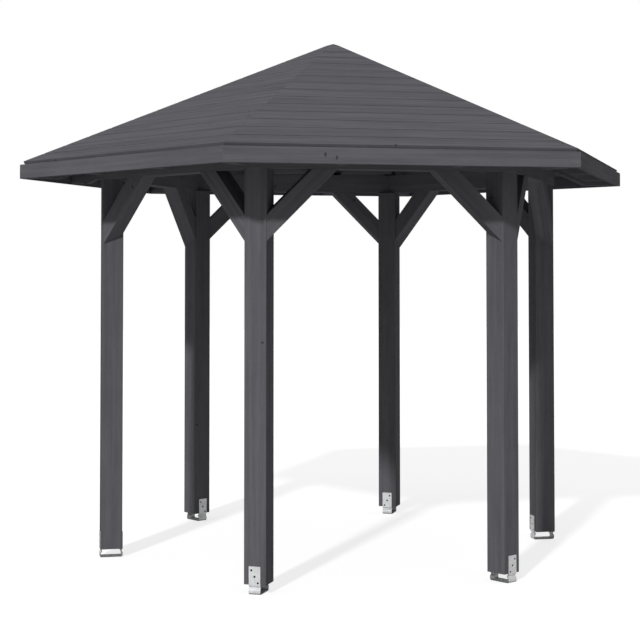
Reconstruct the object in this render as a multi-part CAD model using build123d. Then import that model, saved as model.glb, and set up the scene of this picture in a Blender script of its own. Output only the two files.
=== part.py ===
from build123d import *
import math
import os

# Garden pavilion: six square posts in steel post bases, a braced ring of beams
# and a low hexagonal roof on hip and jack rafters. All lengths in millimetres.
# The origin is the middle of the plan at ground level, +Z is up and the front side faces -Y.

# Corners and sides, counter-clockwise from +X as seen from above
corner_names = ["right", "back_right", "back_left", "left", "front_left", "front_right"]
side_names = ["right_back", "back", "left_back", "left_front", "front", "right_front"]
side_count = len(corner_names)
side_angle = 360 / side_count
half_angle = side_angle / 2

# Posts, turned so that two faces look outwards and inwards along the radius
post_ring_radius = 1260.0
post_width = 115.0
post_edge_round = 4.0
post_bottom = 47.0
post_height = 2028.0

# Ring beams on the post heads, and the braces in the same plane below them
beam_thickness = 92.0
beam_depth = 115.0
brace_depth = 92.0
brace_reach = 381.0
brace_angle = 45.0

# Roof deck: rafter_heel is the plumb height from beam top to deck at the beam's outer face
roof_pitch = 25.07
rafter_heel = 122.0
eave_overhang = 362.5
deck_thickness = 20.0
deck_lap = 8.4
apex_flat = 22.0

# Fascia boards: the deck stands above them by the reveal and laps over their backs
fascia_thickness = 24.0
fascia_height = 78.0
eave_reveal = 21.9

# Rafters and the hub that the hips meet at
hip_width = 60.0
hip_depth = 145.0
jack_width = 45.0
jack_depth = 115.0
jack_spacing = 588.0
tail_lift = 2.0
hub_across_flats = 120.0
hub_drop = 20.0

# Post bases, each bent from one steel strap
strap_width = 60.0
strap_thickness = 5.0
strap_rise = 89.5
crimp_depth = 10.0
crimp_height = 24.0
bend_radius = 4.0
foot_radius = 5.0
screw_hole_diameter = 10.0
screw_hole_from_top = 18.5
screw_hole_drop = 30.5
screw_hole_shift = 17.0
anchor_hole_diameter = 12.0
turned_bases = ["right", "back_left", "front_right"]

# Length by which raw stock and cutters pass the final faces
overrun = 60.0

# Values worked out from the driving dimensions
half_sine = math.sin(math.radians(half_angle))
half_cosine = math.cos(math.radians(half_angle))
half_tangent = math.tan(math.radians(half_angle))
pitch_sine = math.sin(math.radians(roof_pitch))
pitch_cosine = math.cos(math.radians(roof_pitch))
pitch_tangent = math.tan(math.radians(roof_pitch))
hip_tangent = pitch_tangent * half_cosine
hip_cosine = math.cos(math.atan(hip_tangent))

beam_bottom = post_bottom + post_height
beam_top = beam_bottom + beam_depth
post_face_end = post_ring_radius + post_width / 2 - post_edge_round
frame_face = post_face_end * half_cosine + post_width / 2 * half_sine
frame_back = frame_face - beam_thickness
fascia_face = frame_face + eave_overhang
fascia_back = fascia_face - fascia_thickness


def deck_underside(apothem):
    """Height of the deck's underside at a distance from the centre, square to the side."""
    return beam_top + rafter_heel + (frame_face - apothem) * pitch_tangent


def deck_top(apothem):
    return deck_underside(apothem) + deck_thickness / pitch_cosine


def hip_bottom(radius):
    """Height of the hip rafter's lower edge at a distance along the hip in plan."""
    return deck_underside(radius * half_cosine) - hip_depth / hip_cosine


def jack_bottom(apothem):
    return deck_underside(apothem) - jack_depth / pitch_cosine


fascia_top = deck_top(fascia_back) - eave_reveal
fascia_bottom = fascia_top - fascia_height
tail_level = fascia_bottom + tail_lift
apex_height = deck_top(0) - apex_flat / 2 * hip_tangent
hub_radius = hub_across_flats / 2


def upright_prism(outline, width):
    """Outline in the XZ plane, drawn out equally to both sides of it."""
    face = Plane.XZ * make_face(Polyline(*outline, close=True))
    return extrude(face, amount=width / 2, both=True)


def mitred_board(back, thickness, bottom, height):
    """Board along one side of the hexagon, its ends mitred to the neighbours."""
    front = back + thickness
    outline = [
        (back, -back * half_tangent),
        (front, -front * half_tangent),
        (front, front * half_tangent),
        (back, back * half_tangent),
    ]
    face = make_face(Polyline(*outline, close=True))
    return Pos(0, 0, bottom) * extrude(face, amount=height)


def turned_plane(distance, height, tilt, angle):
    """Plane that faces outwards at an angle in plan, tilted up from the horizon."""
    outward = Vector(math.cos(math.radians(angle)), math.sin(math.radians(angle)), 0)
    normal = outward * math.cos(math.radians(tilt)) + Vector(0, 0, 1) * math.sin(math.radians(tilt))
    return Plane(origin=outward * distance + Vector(0, 0, height), z_dir=normal)


def deck_plane(angle):
    return turned_plane(frame_face, deck_underside(frame_face), 90 - roof_pitch, angle)


def fascia_plane(angle):
    return turned_plane(fascia_back, 0, 0, angle)


def hip_side_plane(offset):
    """Upright plane beside the hip at the +Y end of a side, facing the middle of the side."""
    return turned_plane(offset, 0, 0, half_angle - 90)


def post():
    stock = Box(post_width, post_width, post_height, align=(Align.CENTER, Align.CENTER, Align.MIN))
    rounded = fillet(stock.edges().filter_by(Axis.Z), post_edge_round)
    return Pos(post_ring_radius, 0, post_bottom) * rounded


def ring_beam():
    return mitred_board(frame_back, beam_thickness, beam_bottom, beam_depth)


def fascia():
    return mitred_board(fascia_back, fascia_thickness, fascia_bottom, fascia_height)


def brace():
    """Brace at the +Y end of a side: level cut under the beam, skew cut on the post's cheek."""
    rise = math.tan(math.radians(brace_angle))
    plumb_depth = brace_depth / math.cos(math.radians(brace_angle))
    post_along = post_ring_radius * half_sine
    foot = beam_bottom - brace_reach * rise
    outline = [
        (post_along, foot),
        (post_along - brace_reach, beam_bottom),
        (post_along - brace_reach + plumb_depth / rise, beam_bottom),
        (post_along, foot + plumb_depth),
    ]
    face = Plane.YZ * make_face(Polyline(*outline, close=True))
    stock = Pos(frame_back, 0, 0) * extrude(face, amount=beam_thickness)
    cheek = hip_side_plane(post_width / 2)
    return split(stock, bisect_by=cheek, keep=Keep.TOP)


def brace_pair():
    one = Rot(0, 0, -half_angle) * brace()
    return Compound(children=[one, mirror(one, about=Plane.XZ)])


def hip_rafter():
    """Hip with a backed top, a birdsmouth over the mitred beams and a V-cut tail behind the fascia."""
    end = fascia_back / half_cosine + overrun
    tail_start = (hip_bottom(0) - tail_level) / hip_tangent
    ridge = deck_underside(0) + overrun
    outline = [
        (hub_radius, hip_bottom(hub_radius)),
        (tail_start, tail_level),
        (end, tail_level),
        (end, ridge),
        (hub_radius, ridge),
    ]
    rafter = upright_prism(outline, hip_width)
    for angle in (-half_angle, half_angle):
        rafter = split(rafter, bisect_by=deck_plane(angle), keep=Keep.BOTTOM)
        rafter = split(rafter, bisect_by=fascia_plane(angle), keep=Keep.BOTTOM)
        rafter = rafter - Rot(0, 0, angle) * ring_beam()
    return rafter


def jack_rafter():
    """Short rafter from the eave to a cheek cut on the side of the hip at the +Y end."""
    tail_start = (jack_bottom(0) - tail_level) / pitch_tangent
    outline = [
        (0, jack_bottom(0)),
        (tail_start, tail_level),
        (fascia_back, tail_level),
        (fascia_back, deck_underside(fascia_back)),
        (0, deck_underside(0)),
    ]
    stock = Pos(0, jack_spacing / 2, 0) * upright_prism(outline, jack_width)
    cut = split(stock, bisect_by=hip_side_plane(hip_width / 2), keep=Keep.TOP)
    return cut - ring_beam()


def roof_deck():
    """One facet of boards: mitred along both hips, its eave edge cut square to the slope."""
    eave = fascia_back + deck_lap
    outline = [
        (0, deck_top(0)),
        (eave, deck_top(eave)),
        (eave - deck_thickness * pitch_sine, deck_top(eave) - deck_thickness * pitch_cosine),
        (0, deck_underside(0)),
    ]
    deck = upright_prism(outline, eave * half_tangent * 2 + overrun)
    deck = split(deck, bisect_by=hip_side_plane(0), keep=Keep.TOP)
    deck = split(deck, bisect_by=turned_plane(0, 0, 0, 90 - half_angle), keep=Keep.TOP)
    return split(deck, bisect_by=turned_plane(0, apex_height, 90, 0), keep=Keep.BOTTOM)


def roof_hub():
    """Hexagonal block under the tip, a flat for each hip and its head cut to the deck."""
    bottom = hip_bottom(hub_radius) - hub_drop
    face = RegularPolygon(hub_radius, side_count, major_radius=False, rotation=half_angle)
    hub = Pos(0, 0, bottom) * extrude(face, amount=deck_underside(0) + overrun - bottom)
    for index in range(side_count):
        hub = split(hub, bisect_by=deck_plane(half_angle + index * side_angle), keep=Keep.BOTTOM)
    return hub


def post_base():
    """Strap bent to a U round the post foot, crimped inwards below it to carry the post."""
    inside = post_width / 2
    flank = math.atan2(crimp_depth, crimp_height / 2)
    shoulder = post_bottom - bend_radius * math.tan(flank / 2)
    leg = [
        (inside, post_bottom + strap_rise),
        (inside, shoulder),
        (inside - crimp_depth, shoulder - crimp_height / 2),
        (inside, shoulder - crimp_height),
        (inside, strap_thickness),
    ]
    radii = [bend_radius, bend_radius + strap_thickness, bend_radius, foot_radius]
    far_leg = [(-x, z) for x, z in reversed(leg)]
    line = FilletPolyline(*leg, *far_leg, radius=radii + radii[::-1])
    section = make_face(line.wire().offset_2d(strap_thickness, side=Side.LEFT, closed=True))
    strap = extrude(Plane.XZ * section, amount=strap_width / 2, both=True)
    hole_top = post_bottom + strap_rise - screw_hole_from_top
    through = post_width + 2 * strap_thickness + overrun
    for index in range(-1, 2):
        height = hole_top - (index + 1) * screw_hole_drop
        drill = Rot(0, 90, 0) * Cylinder(screw_hole_diameter / 2, through)
        strap = strap - Pos(0, index * screw_hole_shift, height) * drill
    return strap - Cylinder(anchor_hole_diameter / 2, 2 * strap_thickness + bend_radius)


def write(name, piece):
    piece.label = name
    export_step(piece, f"parts/{name}.step")


os.makedirs("parts", exist_ok=True)

corner_pieces = {
    "post": post(),
    "braces": brace_pair(),
    "hip_rafter": hip_rafter(),
}
side_pieces = {
    "ring_beam": ring_beam(),
    "fascia": fascia(),
    "roof_deck": roof_deck(),
}
base = post_base()
jack = jack_rafter()
jack_pair = [jack, mirror(jack, about=Plane.XZ)]

all_jacks = []
for index in range(side_count):
    to_corner = Rot(0, 0, index * side_angle)
    to_side = Rot(0, 0, half_angle + index * side_angle)
    for kind, piece in corner_pieces.items():
        write(f"{kind}_{corner_names[index]}", to_corner * piece)
    for kind, piece in side_pieces.items():
        write(f"{kind}_{side_names[index]}", to_side * piece)
    half_turn = 180 if corner_names[index] in turned_bases else 0
    seat = to_corner * Pos(post_ring_radius, 0, 0) * Rot(0, 0, half_turn)
    write(f"post_base_{corner_names[index]}", seat * base)
    all_jacks += [to_side * piece for piece in jack_pair]

write("jack_rafters", Compound(children=all_jacks))
write("roof_hub", roof_hub())
print(f"apex {apex_height:.1f}, eave corner radius {fascia_face / half_cosine:.1f}, fascia {fascia_bottom:.1f}")
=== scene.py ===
"""Dresses an open hexagonal garden gazebo: boarded roof, stained timber frame and galvanised post bases."""

import math
import random

import bmesh
import bpy
from mathutils import Matrix, Vector


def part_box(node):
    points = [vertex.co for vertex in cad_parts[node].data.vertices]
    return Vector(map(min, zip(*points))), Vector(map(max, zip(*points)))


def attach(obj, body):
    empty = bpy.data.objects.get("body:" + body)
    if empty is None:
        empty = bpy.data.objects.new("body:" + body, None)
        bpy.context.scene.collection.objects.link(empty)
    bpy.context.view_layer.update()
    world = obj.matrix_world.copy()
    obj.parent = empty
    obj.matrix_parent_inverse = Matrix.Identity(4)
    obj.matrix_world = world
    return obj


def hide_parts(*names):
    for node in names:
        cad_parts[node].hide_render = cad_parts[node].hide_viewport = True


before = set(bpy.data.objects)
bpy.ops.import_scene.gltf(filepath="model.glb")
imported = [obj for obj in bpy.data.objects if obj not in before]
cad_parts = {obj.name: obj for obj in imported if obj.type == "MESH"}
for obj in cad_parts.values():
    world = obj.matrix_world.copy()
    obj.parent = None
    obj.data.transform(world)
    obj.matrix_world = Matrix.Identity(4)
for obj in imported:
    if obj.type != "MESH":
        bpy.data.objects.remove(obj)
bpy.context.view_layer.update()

bl_info = {
    "name": "Hexagonal Garden Gazebo",
    "version": (1, 0, 0),
    "blender": (4, 5, 0),
    "location": "View3D > Sidebar > Gazebo",
    "description": "Boards, stains and galvanises an open timber gazebo over its fixed frame",
    "category": "Object",
}

MM = 0.001
SIDES = ["right_back", "back", "left_back", "left_front", "front", "right_front"]
CORNERS = ["right", "back_right", "back_left", "left", "front_left", "front_right"]
SIDE_ANGLE = math.tau / len(SIDES)
BODY = "root"

# Points closer than this are one point
WELD = 0.01 * MM
# Faces that meet at less than this count as one surface
CORNER_ANGLE = math.radians(20)
# Where a piece lies in the log: how far along it, and how near and far from the pith
LOG_LENGTH = 20.0
PITH_NEAR = 50 * MM
PITH_FAR = 120 * MM


def linear(code):
    """Linear colour for an sRGB hex value."""
    channels = [int(code[start:start + 2], 16) / 255 for start in (1, 3, 5)]
    return tuple(c / 12.92 if c <= 0.04045 else ((c + 0.055) / 1.055) ** 2.4 for c in channels)


def facet_top(node):
    """A point on the largest upward face of a roof deck, and its normal."""
    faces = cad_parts[node].data.polygons
    top = max(faces, key=lambda face: face.area if face.normal.z > 0 else 0)
    return top.center.copy(), top.normal.copy()


# Roof planes as the frame has them, seen in the section through the middle of the front side
deck_point, deck_normal = facet_top("roof_deck_front")
deck_low, deck_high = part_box("roof_deck_front")
ROOF_PITCH = math.acos(deck_normal.z)
ROOF_PEAK = deck_point.z - deck_point.y * math.tan(ROOF_PITCH)
ROOF_TIP = deck_high.z
EAVE_DISTANCE = -deck_low.y
EAVE_RUN = EAVE_DISTANCE / math.cos(ROOF_PITCH)
DECK_THICKNESS = (ROOF_PEAK - EAVE_DISTANCE * math.tan(ROOF_PITCH) - deck_low.z) / math.cos(ROOF_PITCH)


class BoardSettings(bpy.types.PropertyGroup):
    rows: bpy.props.IntProperty(
        name="Rows", description="Boards from the eave to the tip of each facet", default=15, min=2)
    cover: bpy.props.FloatProperty(
        name="Cover width", description="Slope length that one board covers",
        default=117.6 * MM, subtype="DISTANCE", unit="LENGTH")
    eave_board: bpy.props.FloatProperty(
        name="Eave board", description="Slope length of the lowest board",
        default=102 * MM, subtype="DISTANCE", unit="LENGTH")
    joint: bpy.props.FloatProperty(
        name="Joint", description="Open joint between two boards, closed below by the upper board's cheek",
        default=5.5 * MM, subtype="DISTANCE", unit="LENGTH")
    cheek: bpy.props.FloatProperty(
        name="Cheek", description="Thickness of the cheek that closes a joint from below",
        default=6 * MM, subtype="DISTANCE", unit="LENGTH")
    chamfer: bpy.props.FloatProperty(
        name="Chamfer", description="Chamfer on the long edges",
        default=1.2 * MM, subtype="DISTANCE", unit="LENGTH")
    hip_gap: bpy.props.FloatProperty(
        name="Hip gap", description="Room left at each hip between the ends of two boards",
        default=0.2 * MM, subtype="DISTANCE", unit="LENGTH")
    seed: bpy.props.IntProperty(
        name="Seed", description="Changes the grain and tone that each board gets", default=5)


class TimberSettings(bpy.types.PropertyGroup):
    stain: bpy.props.FloatVectorProperty(
        name="Stain", description="Anthracite stain as it shows on a lit face",
        subtype="COLOR", size=3, default=linear("#636267"))
    stain_dark: bpy.props.FloatVectorProperty(
        name="Late wood", description="Stain where it has soaked into the dark lines of the grain",
        subtype="COLOR", size=3, default=linear("#58575b"))
    knot: bpy.props.FloatVectorProperty(
        name="Knot", description="Stained knots",
        subtype="COLOR", size=3, default=linear("#37363a"))
    edge: bpy.props.FloatProperty(
        name="Eased edge", description="Rounding of the planed timber's long edges",
        default=2.5 * MM, subtype="DISTANCE", unit="LENGTH")
    saw_cut: bpy.props.FloatProperty(
        name="Saw cut", description="Edges shorter than this are saw cuts and stay sharp",
        default=250 * MM, subtype="DISTANCE", unit="LENGTH")
    ring_spacing: bpy.props.FloatProperty(
        name="Ring spacing", description="Distance between growth rings, drawn coarse enough to show",
        default=11 * MM, subtype="DISTANCE", unit="LENGTH")
    knot_spacing: bpy.props.FloatProperty(
        name="Knot spacing", description="Usual distance between knots along a board",
        default=500 * MM, subtype="DISTANCE", unit="LENGTH")
    knot_radius: bpy.props.FloatProperty(
        name="Knot radius", description="Usual radius of a knot",
        default=9 * MM, subtype="DISTANCE", unit="LENGTH")
    seed: bpy.props.IntProperty(
        name="Seed", description="Changes the grain and tone that each timber gets", default=2)


class SteelSettings(bpy.types.PropertyGroup):
    zinc: bpy.props.FloatVectorProperty(
        name="Zinc", description="Galvanised coat of the post bases",
        subtype="COLOR", size=3, default=linear("#cdcecf"))
    spangle: bpy.props.FloatProperty(
        name="Spangle", description="Usual width of the zinc crystals",
        default=14 * MM, subtype="DISTANCE", unit="LENGTH")
    # The darkening up the foot is painted shade towards the ground, up to this height
    soil_height: bpy.props.FloatProperty(
        name="Soil height", description="How far up the foot soil dulls the zinc",
        default=14 * MM, subtype="DISTANCE", unit="LENGTH")
    edge: bpy.props.FloatProperty(
        name="Edge", description="Rounding of the sheared strap edges",
        default=0.6 * MM, subtype="DISTANCE", unit="LENGTH")


class StageSettings(bpy.types.PropertyGroup):
    camera_place: bpy.props.FloatVectorProperty(
        name="Camera place", description="Where the photograph was taken from",
        subtype="XYZ", unit="LENGTH", size=3, default=(-1.961, -8.386, 1.588))
    camera_turn: bpy.props.FloatVectorProperty(
        name="Camera turn", description="Which way the camera looks",
        subtype="EULER", unit="ROTATION", size=3,
        default=(math.radians(91.847), 0, math.radians(-12.391)))
    lens: bpy.props.FloatProperty(
        name="Lens", description="Focal length on a 36 mm wide sensor", default=84.52)
    shift: bpy.props.FloatVectorProperty(
        name="Shift", description="Offset of the lens that the photograph's framing shows",
        size=2, default=(0.01097, -0.1573))
    to_sun: bpy.props.FloatVectorProperty(
        name="To the key lamp", description="Direction from the gazebo to the key lamp",
        subtype="DIRECTION", size=3, default=(-0.467, -0.719, 0.515))
    key: bpy.props.FloatProperty(name="Key lamp", description="Strength of the key lamp", default=2.06)
    side_fill: bpy.props.FloatProperty(
        name="Side fill", description="Strength of the soft light from the sides", default=0.3)
    top_fill: bpy.props.FloatProperty(
        name="Top fill", description="Strength of the soft light from straight above", default=0.54)
    floor: bpy.props.FloatProperty(
        name="Floor", description="Width of the floor",
        default=60, subtype="DISTANCE", unit="LENGTH")


def add_node(tree, kind, inputs=(), **settings):
    """Add a node, set its properties, then fill or link its input sockets."""
    node = tree.nodes.new(kind)
    for name, value in settings.items():
        setattr(node, name, value)
    for key, value in dict(inputs).items():
        socket = node.inputs[key]
        if isinstance(value, bpy.types.NodeSocket):
            tree.links.new(value, socket)
        else:
            socket.default_value = value
    return node


def new_material(name):
    """Empty node material, its tree and its output node."""
    material = bpy.data.materials.new(name)
    material.use_nodes = True
    tree = material.node_tree
    tree.nodes.clear()
    return material, tree, add_node(tree, "ShaderNodeOutputMaterial")


def stained_spruce(settings):
    """Planed spruce under an anthracite stain: a dull even grey with faint rings, streaks and knots."""
    material, tree, output = new_material("spruce_anthracite_stain")
    grain = add_node(tree, "ShaderNodeAttribute", attribute_name="grain").outputs["Vector"]
    tone = add_node(tree, "ShaderNodeAttribute", attribute_name="tone").outputs["Fac"]
    recess = add_node(tree, "ShaderNodeAttribute", attribute_name="recess").outputs["Fac"]

    # Rings round a pith that lies to one side of the piece, bent by slow waves along the grain
    wander = add_node(
        tree, "ShaderNodeTexNoise",
        {"Vector": add_node(tree, "ShaderNodeVectorMath", {0: grain, 1: (0.9, 5, 5)},
                            operation="MULTIPLY").outputs[0],
         "Scale": 1, "Detail": 2})
    bend = add_node(
        tree, "ShaderNodeVectorMath",
        {0: add_node(tree, "ShaderNodeVectorMath", {0: wander.outputs["Color"], 1: (0.5, 0.5, 0.5)},
                     operation="SUBTRACT").outputs[0],
         1: (0, 0.09, 0.09)}, operation="MULTIPLY")
    rounds = add_node(tree, "ShaderNodeVectorMath", {0: grain, 1: bend.outputs[0]}, operation="ADD")
    rings = add_node(
        tree, "ShaderNodeTexWave",
        {"Vector": rounds.outputs[0], "Scale": math.tau / 20 / settings.ring_spacing,
         "Distortion": 3, "Detail": 2, "Detail Scale": 0.6},
        wave_type="RINGS", rings_direction="X", wave_profile="SAW")

    # Fine streaks along the grain
    streaks = add_node(
        tree, "ShaderNodeTexNoise",
        {"Vector": add_node(tree, "ShaderNodeVectorMath", {0: grain, 1: (3, 150, 150)},
                            operation="MULTIPLY").outputs[0],
         "Scale": 1, "Detail": 3, "Roughness": 0.6})

    # Broad bands where the wood took more or less stain
    bands = add_node(
        tree, "ShaderNodeTexNoise",
        {"Vector": add_node(tree, "ShaderNodeVectorMath", {0: grain, 1: (1.2, 38, 38)},
                            operation="MULTIPLY").outputs[0],
         "Scale": 1, "Detail": 2})

    # Knots: one in each long cell, measured from the cell's own point
    cell = (settings.knot_spacing, 110 * MM, 110 * MM)
    placed = add_node(tree, "ShaderNodeVectorMath", {0: grain, 1: cell}, operation="DIVIDE")
    cells = add_node(tree, "ShaderNodeTexVoronoi", {"Vector": placed.outputs[0], "Scale": 1})
    away = add_node(
        tree, "ShaderNodeVectorMath",
        {0: add_node(tree, "ShaderNodeVectorMath", {0: placed.outputs[0], 1: cells.outputs["Position"]},
                     operation="SUBTRACT").outputs[0],
         1: (cell[0] * 1.1, cell[1] * 0.8, cell[2] * 0.6)}, operation="MULTIPLY")
    reach = add_node(tree, "ShaderNodeVectorMath", {0: away.outputs[0]}, operation="LENGTH")
    knots = add_node(
        tree, "ShaderNodeMapRange",
        {"Value": reach.outputs["Value"], "From Min": settings.knot_radius * 0.45,
         "From Max": settings.knot_radius, "To Min": 1, "To Max": 0}, interpolation_type="SMOOTHSTEP")

    # Blotches where the stain took unevenly
    blotches = add_node(
        tree, "ShaderNodeTexNoise",
        {"Vector": add_node(tree, "ShaderNodeVectorMath", {0: grain, 1: (5, 20, 20)},
                            operation="MULTIPLY").outputs[0],
         "Scale": 1, "Detail": 4, "Roughness": 0.75})

    fine = add_node(
        tree, "ShaderNodeMath",
        {0: rings.outputs["Fac"], 1: 0.08,
         2: add_node(tree, "ShaderNodeMath", {0: streaks.outputs["Fac"], 1: 0.2},
                     operation="MULTIPLY").outputs[0]}, operation="MULTIPLY_ADD")
    mixed = add_node(
        tree, "ShaderNodeMath", {0: bands.outputs["Fac"], 1: 0.72, 2: fine.outputs[0]},
        operation="MULTIPLY_ADD")
    # A colour mix has its two colours at places 6 and 7 and its result at place 2
    wood = add_node(
        tree, "ShaderNodeMix",
        {0: add_node(tree, "ShaderNodeMapRange",
                     {"Value": mixed.outputs[0], "From Min": 0.36, "From Max": 0.64}).outputs[0],
         6: (*settings.stain_dark, 1), 7: (*settings.stain, 1)}, data_type="RGBA")
    knot_share = add_node(tree, "ShaderNodeMath", {0: knots.outputs[0], 1: 0.85}, operation="MULTIPLY")
    knotted = add_node(
        tree, "ShaderNodeMix",
        {0: knot_share.outputs[0], 6: wood.outputs[2], 7: (*settings.knot, 1)}, data_type="RGBA")
    level = add_node(
        tree, "ShaderNodeMath",
        {0: add_node(tree, "ShaderNodeMath", {0: blotches.outputs["Fac"], 1: 0.36, 2: 0.87},
                     operation="MULTIPLY_ADD").outputs[0],
         1: add_node(tree, "ShaderNodeMath", {0: tone, 1: 0.03}, operation="MULTIPLY").outputs[0]},
        operation="ADD")
    # Painted shade darkens the walls of the roof's open joints, where stain and dirt also gather, and the
    # discs in the mouths of the screw bores
    after_recess_shade = add_node(tree, "ShaderNodeMath", {0: recess, 1: -0.85, 2: 1.0}, operation="MULTIPLY_ADD")
    shade = add_node(
        tree, "ShaderNodeMath", {0: level.outputs[0], 1: after_recess_shade.outputs[0]}, operation="MULTIPLY")
    colour = add_node(
        tree, "ShaderNodeVectorMath", {0: knotted.outputs[2], 3: shade.outputs[0]}, operation="SCALE")

    bump = add_node(
        tree, "ShaderNodeBump",
        {"Height": fine.outputs[0], "Strength": 0.25, "Distance": 0.4 * MM})
    shine = add_node(
        tree, "ShaderNodeMapRange",
        {"Value": streaks.outputs["Fac"], "To Min": 0.75, "To Max": 0.9})
    # The thin stain soaks in and leaves no film, so nothing shines
    surface = add_node(
        tree, "ShaderNodeBsdfPrincipled",
        {"Base Color": colour.outputs[0], "Roughness": shine.outputs[0], "Normal": bump.outputs[0],
         "IOR": 1.45, "Specular IOR Level": 0.0})
    tree.links.new(surface.outputs[0], output.inputs["Surface"])
    return material


def galvanised_steel(settings):
    """Hot-dip galvanised strap: bright dull zinc with a faint crystal pattern."""
    material, tree, output = new_material("steel_hot_dip_zinc")
    place = add_node(tree, "ShaderNodeTexCoord").outputs["Object"]
    crystals = add_node(tree, "ShaderNodeTexVoronoi", {"Vector": place, "Scale": 1 / settings.spangle})
    clouds = add_node(tree, "ShaderNodeTexNoise", {"Vector": place, "Scale": 1 / (60 * MM), "Detail": 3})
    bright = add_node(
        tree, "ShaderNodeMath",
        {0: add_node(tree, "ShaderNodeSeparateColor", {0: crystals.outputs["Color"]}).outputs[0], 1: 0.14,
         2: add_node(tree, "ShaderNodeMath", {0: clouds.outputs["Fac"], 1: 0.16, 2: 0.82},
                     operation="MULTIPLY_ADD").outputs[0]}, operation="MULTIPLY_ADD")

    # Painted shade darkens the walls of the holes, the sheared edges and the inner faces, and more painted
    # shade darkens the foot towards the ground
    shelter = add_node(tree, "ShaderNodeAttribute", attribute_name="shelter").outputs["Fac"]
    after_painted_shade = add_node(tree, "ShaderNodeMath", {0: shelter, 1: -0.65, 2: 1.0}, operation="MULTIPLY_ADD")
    height = add_node(tree, "ShaderNodeSeparateXYZ", {0: place}).outputs[2]
    # Painted shade towards the ground, darkest where the foot meets the floor
    ground_shade = add_node(
        tree, "ShaderNodeMapRange",
        {"Value": height, "From Max": settings.soil_height, "To Min": 0.3, "To Max": 1.0},
        interpolation_type="SMOOTHSTEP")
    shade_factor = add_node(
        tree, "ShaderNodeMath", {0: after_painted_shade.outputs[0], 1: ground_shade.outputs[0]}, operation="MULTIPLY")
    shade = add_node(
        tree, "ShaderNodeMath", {0: bright.outputs[0], 1: shade_factor.outputs[0]}, operation="MULTIPLY")
    colour = add_node(
        tree, "ShaderNodeVectorMath", {0: tuple(settings.zinc), 3: shade.outputs[0]}, operation="SCALE")
    rough = add_node(
        tree, "ShaderNodeMapRange",
        {"Value": add_node(tree, "ShaderNodeSeparateColor", {0: crystals.outputs["Color"]}).outputs[1],
         "To Min": 0.5, "To Max": 0.65})
    # The grey skin that zinc grows in the open hides more than half of the metal's shine
    surface = add_node(
        tree, "ShaderNodeBsdfPrincipled",
        {"Base Color": colour.outputs[0], "Metallic": 0.4, "Roughness": rough.outputs[0]})
    tree.links.new(surface.outputs[0], output.inputs["Surface"])
    return material


def material_for(name):
    """The material of that name, made on first use."""
    found = bpy.data.materials.get(name)
    if found:
        return found
    scene = bpy.context.scene
    makers = {
        "spruce_anthracite_stain": lambda: stained_spruce(scene.gazebo_timber),
        "steel_hot_dip_zinc": lambda: galvanised_steel(scene.gazebo_steel),
    }
    return makers[name]()


def set_grain(mesh, seed):
    """Give each solid of a timber piece coordinates along and across its own grain, and a tone."""
    draw = random.Random(seed)
    shape = bmesh.new()
    shape.from_mesh(mesh)
    shape.verts.ensure_lookup_table()
    grain = [(0.0, 0.0, 0.0)] * len(shape.verts)
    tones = [0.0] * len(shape.verts)
    waiting = set(shape.verts)
    while waiting:
        solid = [min(waiting, key=lambda vertex: vertex.index)]
        waiting.discard(solid[0])
        for vertex in solid:
            for edge in vertex.link_edges:
                other = edge.other_vert(vertex)
                if other in waiting:
                    waiting.discard(other)
                    solid.append(other)
        edges = {edge for vertex in solid for edge in vertex.link_edges}
        longest = max(edges, key=lambda edge: (round(edge.calc_length(), 5), -edge.index))
        along = (longest.verts[1].co - longest.verts[0].co).normalized()
        beside = along.cross(Vector((0, 0, 1)) if abs(along.z) < 0.9 else Vector((1, 0, 0))).normalized()
        above = along.cross(beside)
        middle = sum((vertex.co for vertex in solid), Vector()) / len(solid)
        shift = Vector((
            draw.uniform(0, LOG_LENGTH),
            draw.uniform(PITH_NEAR, PITH_FAR),
            draw.uniform(PITH_NEAR, PITH_FAR)))
        tone = draw.uniform(-1, -0.2)
        for vertex in solid:
            off = vertex.co - middle
            grain[vertex.index] = (
                off.dot(along) + shift.x, off.dot(beside) + shift.y, off.dot(above) + shift.z)
            tones[vertex.index] = tone
    shape.free()
    mesh.attributes.new("grain", "FLOAT_VECTOR", "POINT").data.foreach_set(
        "vector", [value for point in grain for value in point])
    mesh.attributes.new("tone", "FLOAT", "POINT").data.foreach_set("value", tones)


def plain_mesh(piece):
    """Turn an object with modifiers into one with a plain mesh."""
    bpy.context.view_layer.update()
    graph = bpy.context.evaluated_depsgraph_get()
    mesh = bpy.data.meshes.new_from_object(piece.evaluated_get(graph))
    piece.modifiers.clear()
    piece.data = mesh
    mesh.name = piece.name
    return mesh


def direction(angle):
    """Level direction from the middle of the plan."""
    return Vector((math.cos(angle), math.sin(angle), 0))


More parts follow.
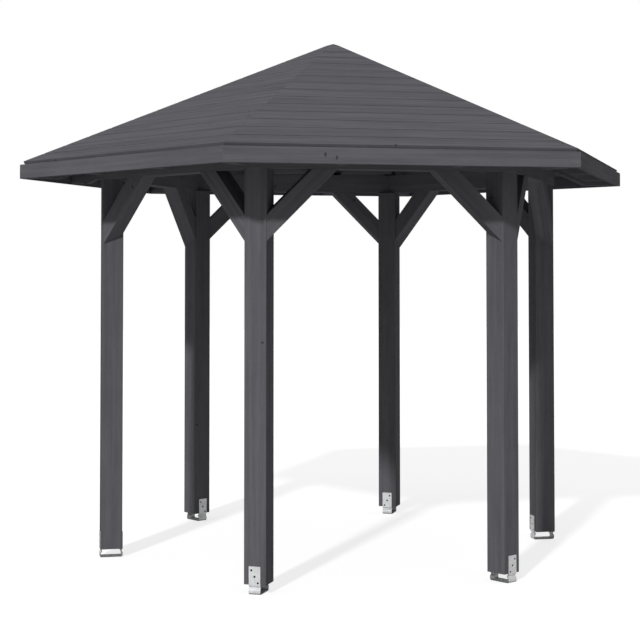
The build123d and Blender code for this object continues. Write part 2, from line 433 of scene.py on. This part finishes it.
def eased_copy(node, name, width, shortest=0, front=None):
    """Copy of a frame node with its triangles joined to flat faces and its longer edges eased.

    With a front given, the edges that aren't on the face that way stay sharp.
    """
    shape = bmesh.new()
    shape.from_mesh(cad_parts[node].data)
    bmesh.ops.remove_doubles(shape, verts=shape.verts, dist=WELD)
    bmesh.ops.dissolve_limit(shape, angle_limit=math.radians(0.5), verts=shape.verts, edges=shape.edges)
    weight = shape.edges.layers.float.new("bevel_weight_edge")
    face_at = max(vertex.co.dot(front) for vertex in shape.verts) if front else 0
    for edge in shape.edges:
        corner = edge.calc_face_angle(0) > CORNER_ANGLE
        long = edge.calc_length() > shortest
        in_front = not front or all(vertex.co.dot(front) > face_at - 1 * MM for vertex in edge.verts)
        eased = corner and long and in_front
        edge[weight] = float(eased)
        edge.smooth = eased or not corner
    for face in shape.faces:
        face.smooth = True
    mesh = bpy.data.meshes.new(name)
    shape.to_mesh(mesh)
    shape.free()
    piece = bpy.data.objects.new(name, mesh)
    bpy.context.scene.collection.objects.link(piece)
    bevel = piece.modifiers.new("eased", "BEVEL")
    bevel.width = width
    bevel.segments = 2
    bevel.limit_method = "WEIGHT"
    flat = piece.modifiers.new("flat", "WEIGHTED_NORMAL")
    flat.weight = 100
    flat.keep_sharp = True
    plain_mesh(piece)
    return piece


def timber_piece(node, front=None):
    """Dress one timber node, with every long edge eased or only those of its front."""
    settings = bpy.context.scene.gazebo_timber
    piece = eased_copy(node, f"timber_{node}", settings.edge, settings.saw_cut, front)
    set_grain(piece.data, f"{node} {settings.seed}")
    piece.data.materials.clear()
    piece.data.materials.append(material_for("spruce_anthracite_stain"))
    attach(piece, BODY)
    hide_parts(node)


def board_shape(tree, corner, outline, chamfer):
    """A board's solid in a node tree, swept from the corners of its section and two units long."""
    spots = add_node(tree, "GeometryNodeIndexSwitch", {"Index": corner}, data_type="VECTOR")
    for number, (along, across) in enumerate(outline):
        if number > 1:
            spots.index_switch_items.new()
        spot = add_node(tree, "ShaderNodeCombineXYZ", {0: along, 1: across})
        tree.links.new(spot.outputs[0], spots.inputs[str(number)])
    ring = add_node(tree, "GeometryNodeCurvePrimitiveCircle", {"Resolution": len(outline)})
    section = add_node(
        tree, "GeometryNodeSetPosition", {"Geometry": ring.outputs[0], "Position": spots.outputs[0]})
    eased = add_node(
        tree, "GeometryNodeFilletCurve",
        {"Curve": section.outputs[0], "Count": 1, "Radius": chamfer}, mode="POLY")
    length = add_node(tree, "GeometryNodeCurvePrimitiveLine", {"Start": (0, -1, 0), "End": (0, 1, 0)})
    swept = add_node(
        tree, "GeometryNodeCurveToMesh",
        {"Curve": length.outputs[0], "Profile Curve": eased.outputs[0], "Fill Caps": True})

    # A corner without a chamfer comes out of the fillet twice
    return add_node(
        tree, "GeometryNodeMergeByDistance", {"Geometry": swept.outputs[0], "Distance": WELD}).outputs[0]


def board_rows():
    """Node tree that lays one facet's boards, tapers them to the hips and turns the facet to its side."""
    tree = bpy.data.node_groups.new("board_rows", "GeometryNodeTree")
    for name, kind in (("Rows", "Int"), ("Cover", "Float"), ("Eave Board", "Float"), ("Run", "Float"),
                       ("Thickness", "Float"), ("Joint", "Float"), ("Cheek", "Float"), ("Chamfer", "Float"),
                       ("Pitch", "Float"), ("Peak", "Float"), ("Tip", "Float"), ("Mitre", "Float"),
                       ("Gap", "Float"), ("Turn", "Float"), ("Seed", "Int")):
        tree.interface.new_socket(name=name, in_out="INPUT", socket_type=f"NodeSocket{kind}")
    tree.interface.new_socket(name="Boards", in_out="OUTPUT", socket_type="NodeSocketGeometry")
    given = add_node(tree, "NodeGroupInput").outputs

    # Sections of the lowest board and the others, upper face downwards because the sweep turns them over
    row = add_node(tree, "GeometryNodeInputIndex").outputs[0]
    under, face, eave_low, eave_high, low, high = (
        add_node(tree, "ShaderNodeMath", {0: given[name], 1: share}, operation="MULTIPLY").outputs[0]
        for name in ("Thickness", "Eave Board", "Cover") for share in (0.5, -0.5))
    # The lowest board keeps its first corner sharp, where it meets the back of the fascia
    past_first = add_node(tree, "ShaderNodeMath", {0: row, 1: 0.5}, operation="GREATER_THAN").outputs[0]
    eave_chamfer = add_node(
        tree, "ShaderNodeMath", {0: past_first, 1: given["Chamfer"]}, operation="MULTIPLY").outputs[0]
    eave_board = board_shape(
        tree, row,
        [(eave_low, under), (eave_high, under), (eave_high, face), (eave_low, face)],
        eave_chamfer)
    edge = add_node(tree, "ShaderNodeMath", {0: low, 1: given["Joint"]}, operation="SUBTRACT").outputs[0]
    cheek = add_node(tree, "ShaderNodeMath", {0: under, 1: given["Cheek"]}, operation="SUBTRACT").outputs[0]
    plain_board = board_shape(
        tree, row,
        [(low, under), (high, under), (high, face), (edge, face), (edge, cheek), (low, cheek)],
        given["Chamfer"])
    # Walls of the open joints, marked for painted shade
    edge_out = add_node(
        tree, "ShaderNodeSeparateXYZ", {0: add_node(tree, "GeometryNodeInputNormal").outputs[0]}).outputs[0]
    in_joint = add_node(tree, "ShaderNodeMath", {0: edge_out, 1: 0.9}, operation="GREATER_THAN")
    board = add_node(
        tree, "GeometryNodeStoreNamedAttribute",
        {"Geometry": plain_board, "Name": "recess", "Value": in_joint.outputs[0]},
        data_type="FLOAT", domain="FACE").outputs[0]

    # Slope distances from the tip to each board's lower and upper edge
    past_eave = add_node(
        tree, "ShaderNodeMath",
        {0: add_node(tree, "ShaderNodeMath", {0: row, 1: 1.0}, operation="MINIMUM").outputs[0],
         1: add_node(tree, "ShaderNodeMath", {0: given["Eave Board"], 1: given["Cover"]},
                     operation="SUBTRACT").outputs[0]}, operation="MULTIPLY")
    laid = add_node(
        tree, "ShaderNodeMath",
        {0: row, 1: given["Cover"], 2: past_eave.outputs[0]}, operation="MULTIPLY_ADD")
    lower = add_node(tree, "ShaderNodeMath", {0: given["Run"], 1: laid.outputs[0]}, operation="SUBTRACT")
    next_row = add_node(
        tree, "ShaderNodeMath",
        {0: row, 1: given["Cover"], 2: given["Eave Board"]}, operation="MULTIPLY_ADD")
    not_last = add_node(
        tree, "ShaderNodeMath",
        {0: row, 1: add_node(tree, "ShaderNodeMath", {0: given["Rows"], 1: 1.5},
                             operation="SUBTRACT").outputs[0]}, operation="LESS_THAN")
    upper = add_node(
        tree, "ShaderNodeMath",
        {0: add_node(tree, "ShaderNodeMath", {0: given["Run"], 1: next_row.outputs[0]},
                     operation="SUBTRACT").outputs[0],
         1: not_last.outputs[0]}, operation="MULTIPLY")
    both = add_node(tree, "ShaderNodeMath", {0: lower.outputs[0], 1: upper.outputs[0]}, operation="ADD")
    middle = add_node(tree, "ShaderNodeMath", {0: both.outputs[0], 1: 0.5}, operation="MULTIPLY")
    width = add_node(
        tree, "ShaderNodeMath", {0: lower.outputs[0], 1: upper.outputs[0]}, operation="SUBTRACT")

    # A point for each row, in the slope's own frame, then set down on the roof
    on_slope = add_node(tree, "ShaderNodeCombineXYZ", {0: middle.outputs[0], 2: face})
    on_roof = add_node(
        tree, "ShaderNodeVectorRotate", {"Vector": on_slope.outputs[0], "Angle": given["Pitch"]},
        rotation_type="Y_AXIS")
    peak = add_node(tree, "ShaderNodeCombineXYZ", {2: given["Peak"]})
    seat = add_node(
        tree, "ShaderNodeVectorMath", {0: on_roof.outputs[0], 1: peak.outputs[0]}, operation="ADD")
    points = add_node(tree, "GeometryNodeMeshLine", {"Count": given["Rows"]})
    seated = add_node(
        tree, "GeometryNodeSetPosition", {"Geometry": points.outputs[0], "Position": seat.outputs[0]})
    shift = add_node(
        tree, "FunctionNodeRandomValue",
        {"Min": (0, PITH_NEAR, PITH_NEAR), "Max": (LOG_LENGTH, PITH_FAR, PITH_FAR), "Seed": given["Seed"]},
        data_type="FLOAT_VECTOR")
    tone = add_node(
        tree, "FunctionNodeRandomValue",
        {2: -1.0, 3: 1.0, "Seed": given["Seed"]}, data_type="FLOAT")
    shifted = add_node(
        tree, "GeometryNodeStoreNamedAttribute",
        {"Geometry": seated.outputs[0], "Name": "shift", "Value": shift.outputs[0]},
        data_type="FLOAT_VECTOR", domain="POINT")
    toned = add_node(
        tree, "GeometryNodeStoreNamedAttribute",
        {"Geometry": shifted.outputs[0], "Name": "tone", "Value": tone.outputs[1]},
        data_type="FLOAT", domain="POINT")
    turn = add_node(tree, "ShaderNodeCombineXYZ", {1: given["Pitch"]})
    at_eave = add_node(tree, "ShaderNodeMath", {0: row, 1: 0.5}, operation="LESS_THAN")
    size = add_node(
        tree, "ShaderNodeCombineXYZ",
        {0: add_node(tree, "ShaderNodeMath", {0: width.outputs[0], 1: given["Cover"]},
                     operation="DIVIDE").outputs[0], 1: 1.0, 2: 1.0})
    scaled = add_node(
        tree, "GeometryNodeStoreNamedAttribute",
        {"Geometry": toned.outputs[0], "Name": "size", "Value": size.outputs[0]},
        data_type="FLOAT_VECTOR", domain="POINT")
    stored_size = add_node(
        tree, "GeometryNodeInputNamedAttribute", {"Name": "size"}, data_type="FLOAT_VECTOR")
    lowest = add_node(
        tree, "GeometryNodeInstanceOnPoints",
        {"Points": scaled.outputs[0], "Selection": at_eave.outputs[0], "Instance": eave_board,
         "Rotation": turn.outputs[0]})
    others = add_node(
        tree, "GeometryNodeInstanceOnPoints",
        {"Points": scaled.outputs[0],
         "Selection": add_node(tree, "FunctionNodeBooleanMath", {0: at_eave.outputs[0]},
                               operation="NOT").outputs[0],
         "Instance": board, "Rotation": turn.outputs[0], "Scale": stored_size.outputs[0]})
    boards = add_node(tree, "GeometryNodeJoinGeometry")
    tree.links.new(lowest.outputs[0], boards.inputs[0])
    tree.links.new(others.outputs[0], boards.inputs[0])
    real = add_node(tree, "GeometryNodeRealizeInstances", {0: boards.outputs[0]})

    # Ends drawn in to the hips, and the tip levelled
    spot = add_node(
        tree, "ShaderNodeSeparateXYZ", {0: add_node(tree, "GeometryNodeInputPosition").outputs[0]})
    hip = add_node(
        tree, "ShaderNodeMath",
        {0: add_node(tree, "ShaderNodeMath", {0: spot.outputs[0], 1: given["Mitre"]},
                     operation="MULTIPLY").outputs[0], 1: given["Gap"]}, operation="SUBTRACT")
    inside = add_node(tree, "ShaderNodeMath", {0: hip.outputs[0], 1: 0.0}, operation="MAXIMUM")
    drawn = add_node(
        tree, "ShaderNodeCombineXYZ",
        {0: spot.outputs[0],
         1: add_node(tree, "ShaderNodeMath", {0: spot.outputs[1], 1: inside.outputs[0]},
                     operation="MULTIPLY").outputs[0],
         2: add_node(tree, "ShaderNodeMath", {0: spot.outputs[2], 1: given["Tip"]},
                     operation="MINIMUM").outputs[0]})
    at_tip = add_node(tree, "ShaderNodeMath", {0: hip.outputs[0], 1: 0.0}, operation="LESS_THAN")
    marked = add_node(
        tree, "GeometryNodeStoreNamedAttribute",
        {"Geometry": real.outputs[0], "Name": "at_tip", "Value": at_tip.outputs[0]},
        data_type="BOOLEAN", domain="POINT")
    pointed = add_node(
        tree, "GeometryNodeSetPosition", {"Geometry": marked.outputs[0], "Position": drawn.outputs[0]})
    tapered = add_node(
        tree, "GeometryNodeMergeByDistance",
        {"Geometry": pointed.outputs[0], "Distance": WELD,
         "Selection": add_node(tree, "GeometryNodeInputNamedAttribute", {"Name": "at_tip"},
                               data_type="BOOLEAN").outputs[0]})

    # Grain along each board, moved by the board's own shift
    back = add_node(tree, "ShaderNodeMath", {0: given["Pitch"], 1: -1.0}, operation="MULTIPLY")
    flat = add_node(
        tree, "ShaderNodeSeparateXYZ",
        {0: add_node(
            tree, "ShaderNodeVectorRotate",
            {"Vector": add_node(
                tree, "ShaderNodeVectorMath",
                {0: add_node(tree, "GeometryNodeInputPosition").outputs[0], 1: peak.outputs[0]},
                operation="SUBTRACT").outputs[0],
             "Angle": back.outputs[0]}, rotation_type="Y_AXIS").outputs[0]})
    grain = add_node(
        tree, "ShaderNodeVectorMath",
        {0: add_node(tree, "ShaderNodeCombineXYZ",
                     {0: flat.outputs[1], 1: flat.outputs[0], 2: flat.outputs[2]}).outputs[0],
         1: add_node(tree, "GeometryNodeInputNamedAttribute", {"Name": "shift"},
                     data_type="FLOAT_VECTOR").outputs[0]}, operation="ADD")
    grained = add_node(
        tree, "GeometryNodeStoreNamedAttribute",
        {"Geometry": tapered.outputs[0], "Name": "grain", "Value": grain.outputs[0]},
        data_type="FLOAT_VECTOR", domain="POINT")
    flat_faced = add_node(
        tree, "GeometryNodeSetShadeSmooth", {"Geometry": grained.outputs[0], "Shade Smooth": False})
    facing = add_node(tree, "ShaderNodeCombineXYZ", {2: given["Turn"]})
    turned = add_node(
        tree, "GeometryNodeTransform", {"Geometry": flat_faced.outputs[0], "Rotation": facing.outputs[0]})
    stained = add_node(
        tree, "GeometryNodeSetMaterial",
        {"Geometry": turned.outputs[0], "Material": material_for("spruce_anthracite_stain")})
    add_node(tree, "NodeGroupOutput", {0: stained.outputs[0]})
    return tree


class GAZEBO_OT_roof_boards(bpy.types.Operator):
    """Lay the roof's six facets of tongued and grooved boards"""
    bl_idname = "gazebo.roof_boards"
    bl_label = "Roof boards"

    def execute(self, context):
        settings = context.scene.gazebo_boards
        tree = board_rows()
        identifiers = {
            item.name: item.identifier for item in tree.interface.items_tree if item.in_out == "INPUT"}
        for index, side in enumerate(SIDES):
            piece = bpy.data.objects.new(f"roof_boards_{side}", bpy.data.meshes.new("boards"))
            context.scene.collection.objects.link(piece)
            modifier = piece.modifiers.new("boards", "NODES")
            modifier.node_group = tree
            sizes = {
                "Rows": settings.rows, "Cover": settings.cover, "Eave Board": settings.eave_board,
                "Run": EAVE_RUN, "Thickness": DECK_THICKNESS, "Joint": settings.joint,
                "Cheek": settings.cheek, "Chamfer": settings.chamfer,
                "Pitch": ROOF_PITCH, "Peak": ROOF_PEAK, "Tip": ROOF_TIP,
                "Mitre": math.tan(SIDE_ANGLE / 2), "Gap": settings.hip_gap,
                "Turn": SIDE_ANGLE * (index + 0.5), "Seed": settings.seed + index,
            }
            for name, value in sizes.items():
                modifier[identifiers[name]] = value
            plain_mesh(piece)
            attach(piece, BODY)
            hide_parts(f"roof_deck_{side}")
        return {"FINISHED"}


class GAZEBO_OT_fascias(bpy.types.Operator):
    """Dress the fascia boards round the eaves"""
    bl_idname = "gazebo.fascias"
    bl_label = "Fascia boards"

    def execute(self, context):
        # The back edges stay sharp, because the boards of the eave close against them
        for index, side in enumerate(SIDES):
            timber_piece(f"fascia_{side}", direction(SIDE_ANGLE * (index + 0.5)))
        return {"FINISHED"}


class GAZEBO_OT_posts(bpy.types.Operator):
    """Dress the six posts"""
    bl_idname = "gazebo.posts"
    bl_label = "Posts"

    def execute(self, context):
        for corner in CORNERS:
            timber_piece(f"post_{corner}")
        return {"FINISHED"}


class GAZEBO_OT_frame(bpy.types.Operator):
    """Dress the ring beams and the braces below them"""
    bl_idname = "gazebo.frame"
    bl_label = "Beams and braces"

    def execute(self, context):
        for side in SIDES:
            timber_piece(f"ring_beam_{side}")
        for corner in CORNERS:
            timber_piece(f"braces_{corner}")
        return {"FINISHED"}


class GAZEBO_OT_rafters(bpy.types.Operator):
    """Dress the hip rafters, the jack rafters and the hub"""
    bl_idname = "gazebo.rafters"
    bl_label = "Rafters"

    def execute(self, context):
        for corner in CORNERS:
            timber_piece(f"hip_rafter_{corner}")
        timber_piece("jack_rafters")
        timber_piece("roof_hub")
        return {"FINISHED"}


class GAZEBO_OT_post_bases(bpy.types.Operator):
    """Dress the galvanised post bases with painted shade in their holes, on their edges and inner faces,
    and put discs of painted shade on the posts behind their screw holes
    """
    bl_idname = "gazebo.post_bases"
    bl_label = "Post bases"

    def execute(self, context):
        settings = context.scene.gazebo_steel
        for index, corner in enumerate(CORNERS):
            outward = direction(SIDE_ANGLE * index)
            node = f"post_base_{corner}"
            self.bore_mouths(corner, outward)
            piece = eased_copy(node, f"steel_{node}", settings.edge)
            self.set_shelter(piece.data, outward)
            piece.data.materials.clear()
            piece.data.materials.append(material_for("steel_hot_dip_zinc"))
            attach(piece, BODY)
            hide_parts(node)
        return {"FINISHED"}

    @staticmethod
    def set_shelter(mesh, outward):
        """Paint shade on the strap: near black on the walls of its holes, less on its sheared edges and
        least on its inner faces.
        """
        hole_shade = 1.4
        edge_shade = 0.9
        inside_shade = 0.2
        hole_facet = (3 * MM) ** 2
        points = [vertex.co for vertex in mesh.vertices]
        middle = sum(points, Vector()) / len(points)
        across = Vector((-outward.y, outward.x, 0))
        shade_marks = []
        for face in mesh.polygons:
            inward = face.normal.dot((middle - face.center).normalized())
            sheared = abs(face.normal.dot(across)) > 0.8
            in_hole = face.area < hole_facet and abs(face.normal.dot(outward)) < 0.95
            if in_hole:
                shade_marks.append(hole_shade)
            elif sheared:
                shade_marks.append(edge_shade)
            else:
                shade_marks.append(max(0.0, min(inside_shade, inward * 2)))
        mesh.attributes.new("shelter", "FLOAT", "FACE").data.foreach_set("value", shade_marks)

    @staticmethod
    def bore_mouths(corner, outward):
        """Discs of painted shade for the mouths of the screw bores, on the post's cheeks behind the holes
        of its base.
        """
        disc = 0.6 * MM
        disc_middle = 0.4 * MM
        room = 0.3 * MM
        near = 1 * MM
        hole_step = 8 * MM
        across = Vector((-outward.y, outward.x, 0))
        low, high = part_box(f"post_{corner}")
        axis = (low + high) / 2
        post_points = [vertex.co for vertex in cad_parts[f"post_{corner}"].data.vertices]
        cheek = max((point - axis).dot(outward) for point in post_points)
        base_points = [vertex.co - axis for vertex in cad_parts[f"post_base_{corner}"].data.vertices]
        strap_edge = max(point.dot(across) for point in base_points)
        strap_top = max(point.z for point in base_points)
        shape = bmesh.new()
        for side in (outward, -outward):
            rims = [
                point for point in base_points
                if abs(point.dot(side) - cheek) < near and abs(point.dot(across)) < strap_edge - near
                and low.z - axis.z < point.z < strap_top - near]
            rims.sort(key=lambda point: point.z)
            holes = [[rims[0]]]
            for before, point in zip(rims, rims[1:]):
                if point.z - before.z > hole_step:
                    holes.append([])
                holes[-1].append(point)
            for rim in holes:
                aside = [point.dot(across) for point in rim]
                radius = (rim[-1].z - rim[0].z) / 2 - room
                middle = side * (cheek + disc_middle) + across * (min(aside) + max(aside)) / 2
                middle.z = (rim[0].z + rim[-1].z) / 2
                turn = side.to_track_quat("Z", "Y").to_matrix().to_4x4()
                bmesh.ops.create_cone(
                    shape, cap_ends=True, segments=24, radius1=radius, radius2=radius, depth=disc,
                    matrix=Matrix.Translation(axis + middle) @ turn)
        mesh = bpy.data.meshes.new(f"bore_mouths_{corner}")
        shape.to_mesh(mesh)
        shape.free()
        set_grain(mesh, mesh.name)
        # Painted shade over the whole disc, near black
        mesh.attributes.new("recess", "FLOAT", "FACE").data.foreach_set("value", [1.0] * len(mesh.polygons))
        mesh.materials.append(material_for("spruce_anthracite_stain"))
        piece = bpy.data.objects.new(mesh.name, mesh)
        bpy.context.scene.collection.objects.link(piece)
        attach(piece, BODY)


class GAZEBO_OT_stage(bpy.types.Operator):
    """Set up the pale floor, the lamps and the photograph's camera"""
    bl_idname = "gazebo.stage"
    bl_label = "Stage"

    def execute(self, context):
        scene = context.scene
        settings = scene.gazebo_stage
        scene.view_settings.view_transform = "Standard"

        lens = bpy.data.cameras.new("camera")
        lens.lens = settings.lens
        lens.sensor_width = 36
        lens.shift_x, lens.shift_y = settings.shift
        camera = bpy.data.objects.new("camera", lens)
        camera.location = settings.camera_place
        camera.rotation_euler = settings.camera_turn
        scene.collection.objects.link(camera)
        scene.camera = camera

        key = bpy.data.lights.new("key", "SUN")
        key.energy = settings.key
        key.angle = math.radians(3)
        lamp = bpy.data.objects.new("key", key)
        lamp.rotation_euler = Vector(settings.to_sun).to_track_quat("Z", "Y").to_euler()
        scene.collection.objects.link(lamp)

        self.light_room(scene, settings)
        self.lay_floor(scene, settings)
        return {"FINISHED"}

    def light_room(self, scene, settings):
        """Soft light from all round and more from above, white where the camera or a reflection sees it."""
        world = bpy.data.worlds.new("room")
        world.use_nodes = True
        scene.world = world
        tree = world.node_tree
        tree.nodes.clear()
        path = add_node(tree, "ShaderNodeLightPath")
        seen = self.seen(tree, path)
        way = add_node(tree, "ShaderNodeTexCoord").outputs["Generated"]
        strength = add_node(
            tree, "ShaderNodeMapRange",
            {"Value": add_node(tree, "ShaderNodeSeparateXYZ", {0: way}).outputs[2],
             "To Min": settings.side_fill, "To Max": settings.top_fill})
        fill = add_node(
            tree, "ShaderNodeBackground", {"Color": (1, 1, 1, 1), "Strength": strength.outputs[0]})
        white = add_node(tree, "ShaderNodeBackground", {"Color": (1, 1, 1, 1), "Strength": 1})
        mixed = add_node(tree, "ShaderNodeMixShader", {0: seen, 1: fill.outputs[0], 2: white.outputs[0]})
        add_node(tree, "ShaderNodeOutputWorld", {"Surface": mixed.outputs[0]})

    def lay_floor(self, scene, settings):
        """White floor with the shadow where it is seen, pale grey for the light that it throws back."""
        material, tree, output = new_material("pale_floor")
        seen = self.seen(tree, add_node(tree, "ShaderNodeLightPath"))
        bounce = add_node(tree, "ShaderNodeBsdfDiffuse", {"Color": (*linear("#cbcbcb"), 1)})
        glow = add_node(tree, "ShaderNodeEmission", {"Color": (1, 1, 1, 1), "Strength": 0.72})
        matt = add_node(tree, "ShaderNodeBsdfDiffuse", {"Color": (*linear("#b4b4b4"), 1)})
        pale = add_node(tree, "ShaderNodeAddShader", {0: glow.outputs[0], 1: matt.outputs[0]})
        mixed = add_node(tree, "ShaderNodeMixShader", {0: seen, 1: bounce.outputs[0], 2: pale.outputs[0]})
        tree.links.new(mixed.outputs[0], output.inputs["Surface"])
        shape = bmesh.new()
        bmesh.ops.create_grid(shape, x_segments=1, y_segments=1, size=settings.floor / 2)
        mesh = bpy.data.meshes.new("floor")
        shape.to_mesh(mesh)
        shape.free()
        mesh.materials.append(material)
        floor = bpy.data.objects.new("floor", mesh)
        scene.collection.objects.link(floor)

    @staticmethod
    def seen(tree, path):
        """1 where the camera, a reflection or a clear surface looks at the backdrop."""
        gloss = add_node(
            tree, "ShaderNodeMath",
            {0: path.outputs["Is Camera Ray"], 1: path.outputs["Is Glossy Ray"]}, operation="MAXIMUM")
        return add_node(
            tree, "ShaderNodeMath",
            {0: gloss.outputs[0], 1: path.outputs["Is Transmission Ray"]}, operation="MAXIMUM").outputs[0]


class GAZEBO_PT_sidebar(bpy.types.Panel):
    """Sizes, finishes and steps of the gazebo"""
    bl_label = "Gazebo"
    bl_space_type = "VIEW_3D"
    bl_region_type = "UI"
    bl_category = "Gazebo"

    def draw(self, context):
        for name, kind in SETTINGS.items():
            box = self.layout.box()
            for setting in kind.__annotations__:
                box.prop(getattr(context.scene, name), setting)
        for operator in OPERATORS:
            self.layout.operator(operator.bl_idname)


SETTINGS = {
    "gazebo_boards": BoardSettings,
    "gazebo_timber": TimberSettings,
    "gazebo_steel": SteelSettings,
    "gazebo_stage": StageSettings,
}
OPERATORS = [
    GAZEBO_OT_stage,
    GAZEBO_OT_roof_boards,
    GAZEBO_OT_fascias,
    GAZEBO_OT_posts,
    GAZEBO_OT_frame,
    GAZEBO_OT_rafters,
    GAZEBO_OT_post_bases,
]


def register():
    for kind in (*SETTINGS.values(), *OPERATORS, GAZEBO_PT_sidebar):
        bpy.utils.register_class(kind)
    for name, kind in SETTINGS.items():
        setattr(bpy.types.Scene, name, bpy.props.PointerProperty(type=kind))


def unregister():
    for name in SETTINGS:
        delattr(bpy.types.Scene, name)
    for kind in (GAZEBO_PT_sidebar, *reversed(OPERATORS), *reversed(SETTINGS.values())):
        bpy.utils.unregister_class(kind)


def main():
    register()
    for name in ("Cube", "Light", "Camera"):
        default = bpy.data.objects.get(name)
        if default:
            bpy.data.objects.remove(default)
    for operator in OPERATORS:
        getattr(bpy.ops.gazebo, operator.bl_idname.split(".")[1])()


if __name__ == "__main__":
    main()
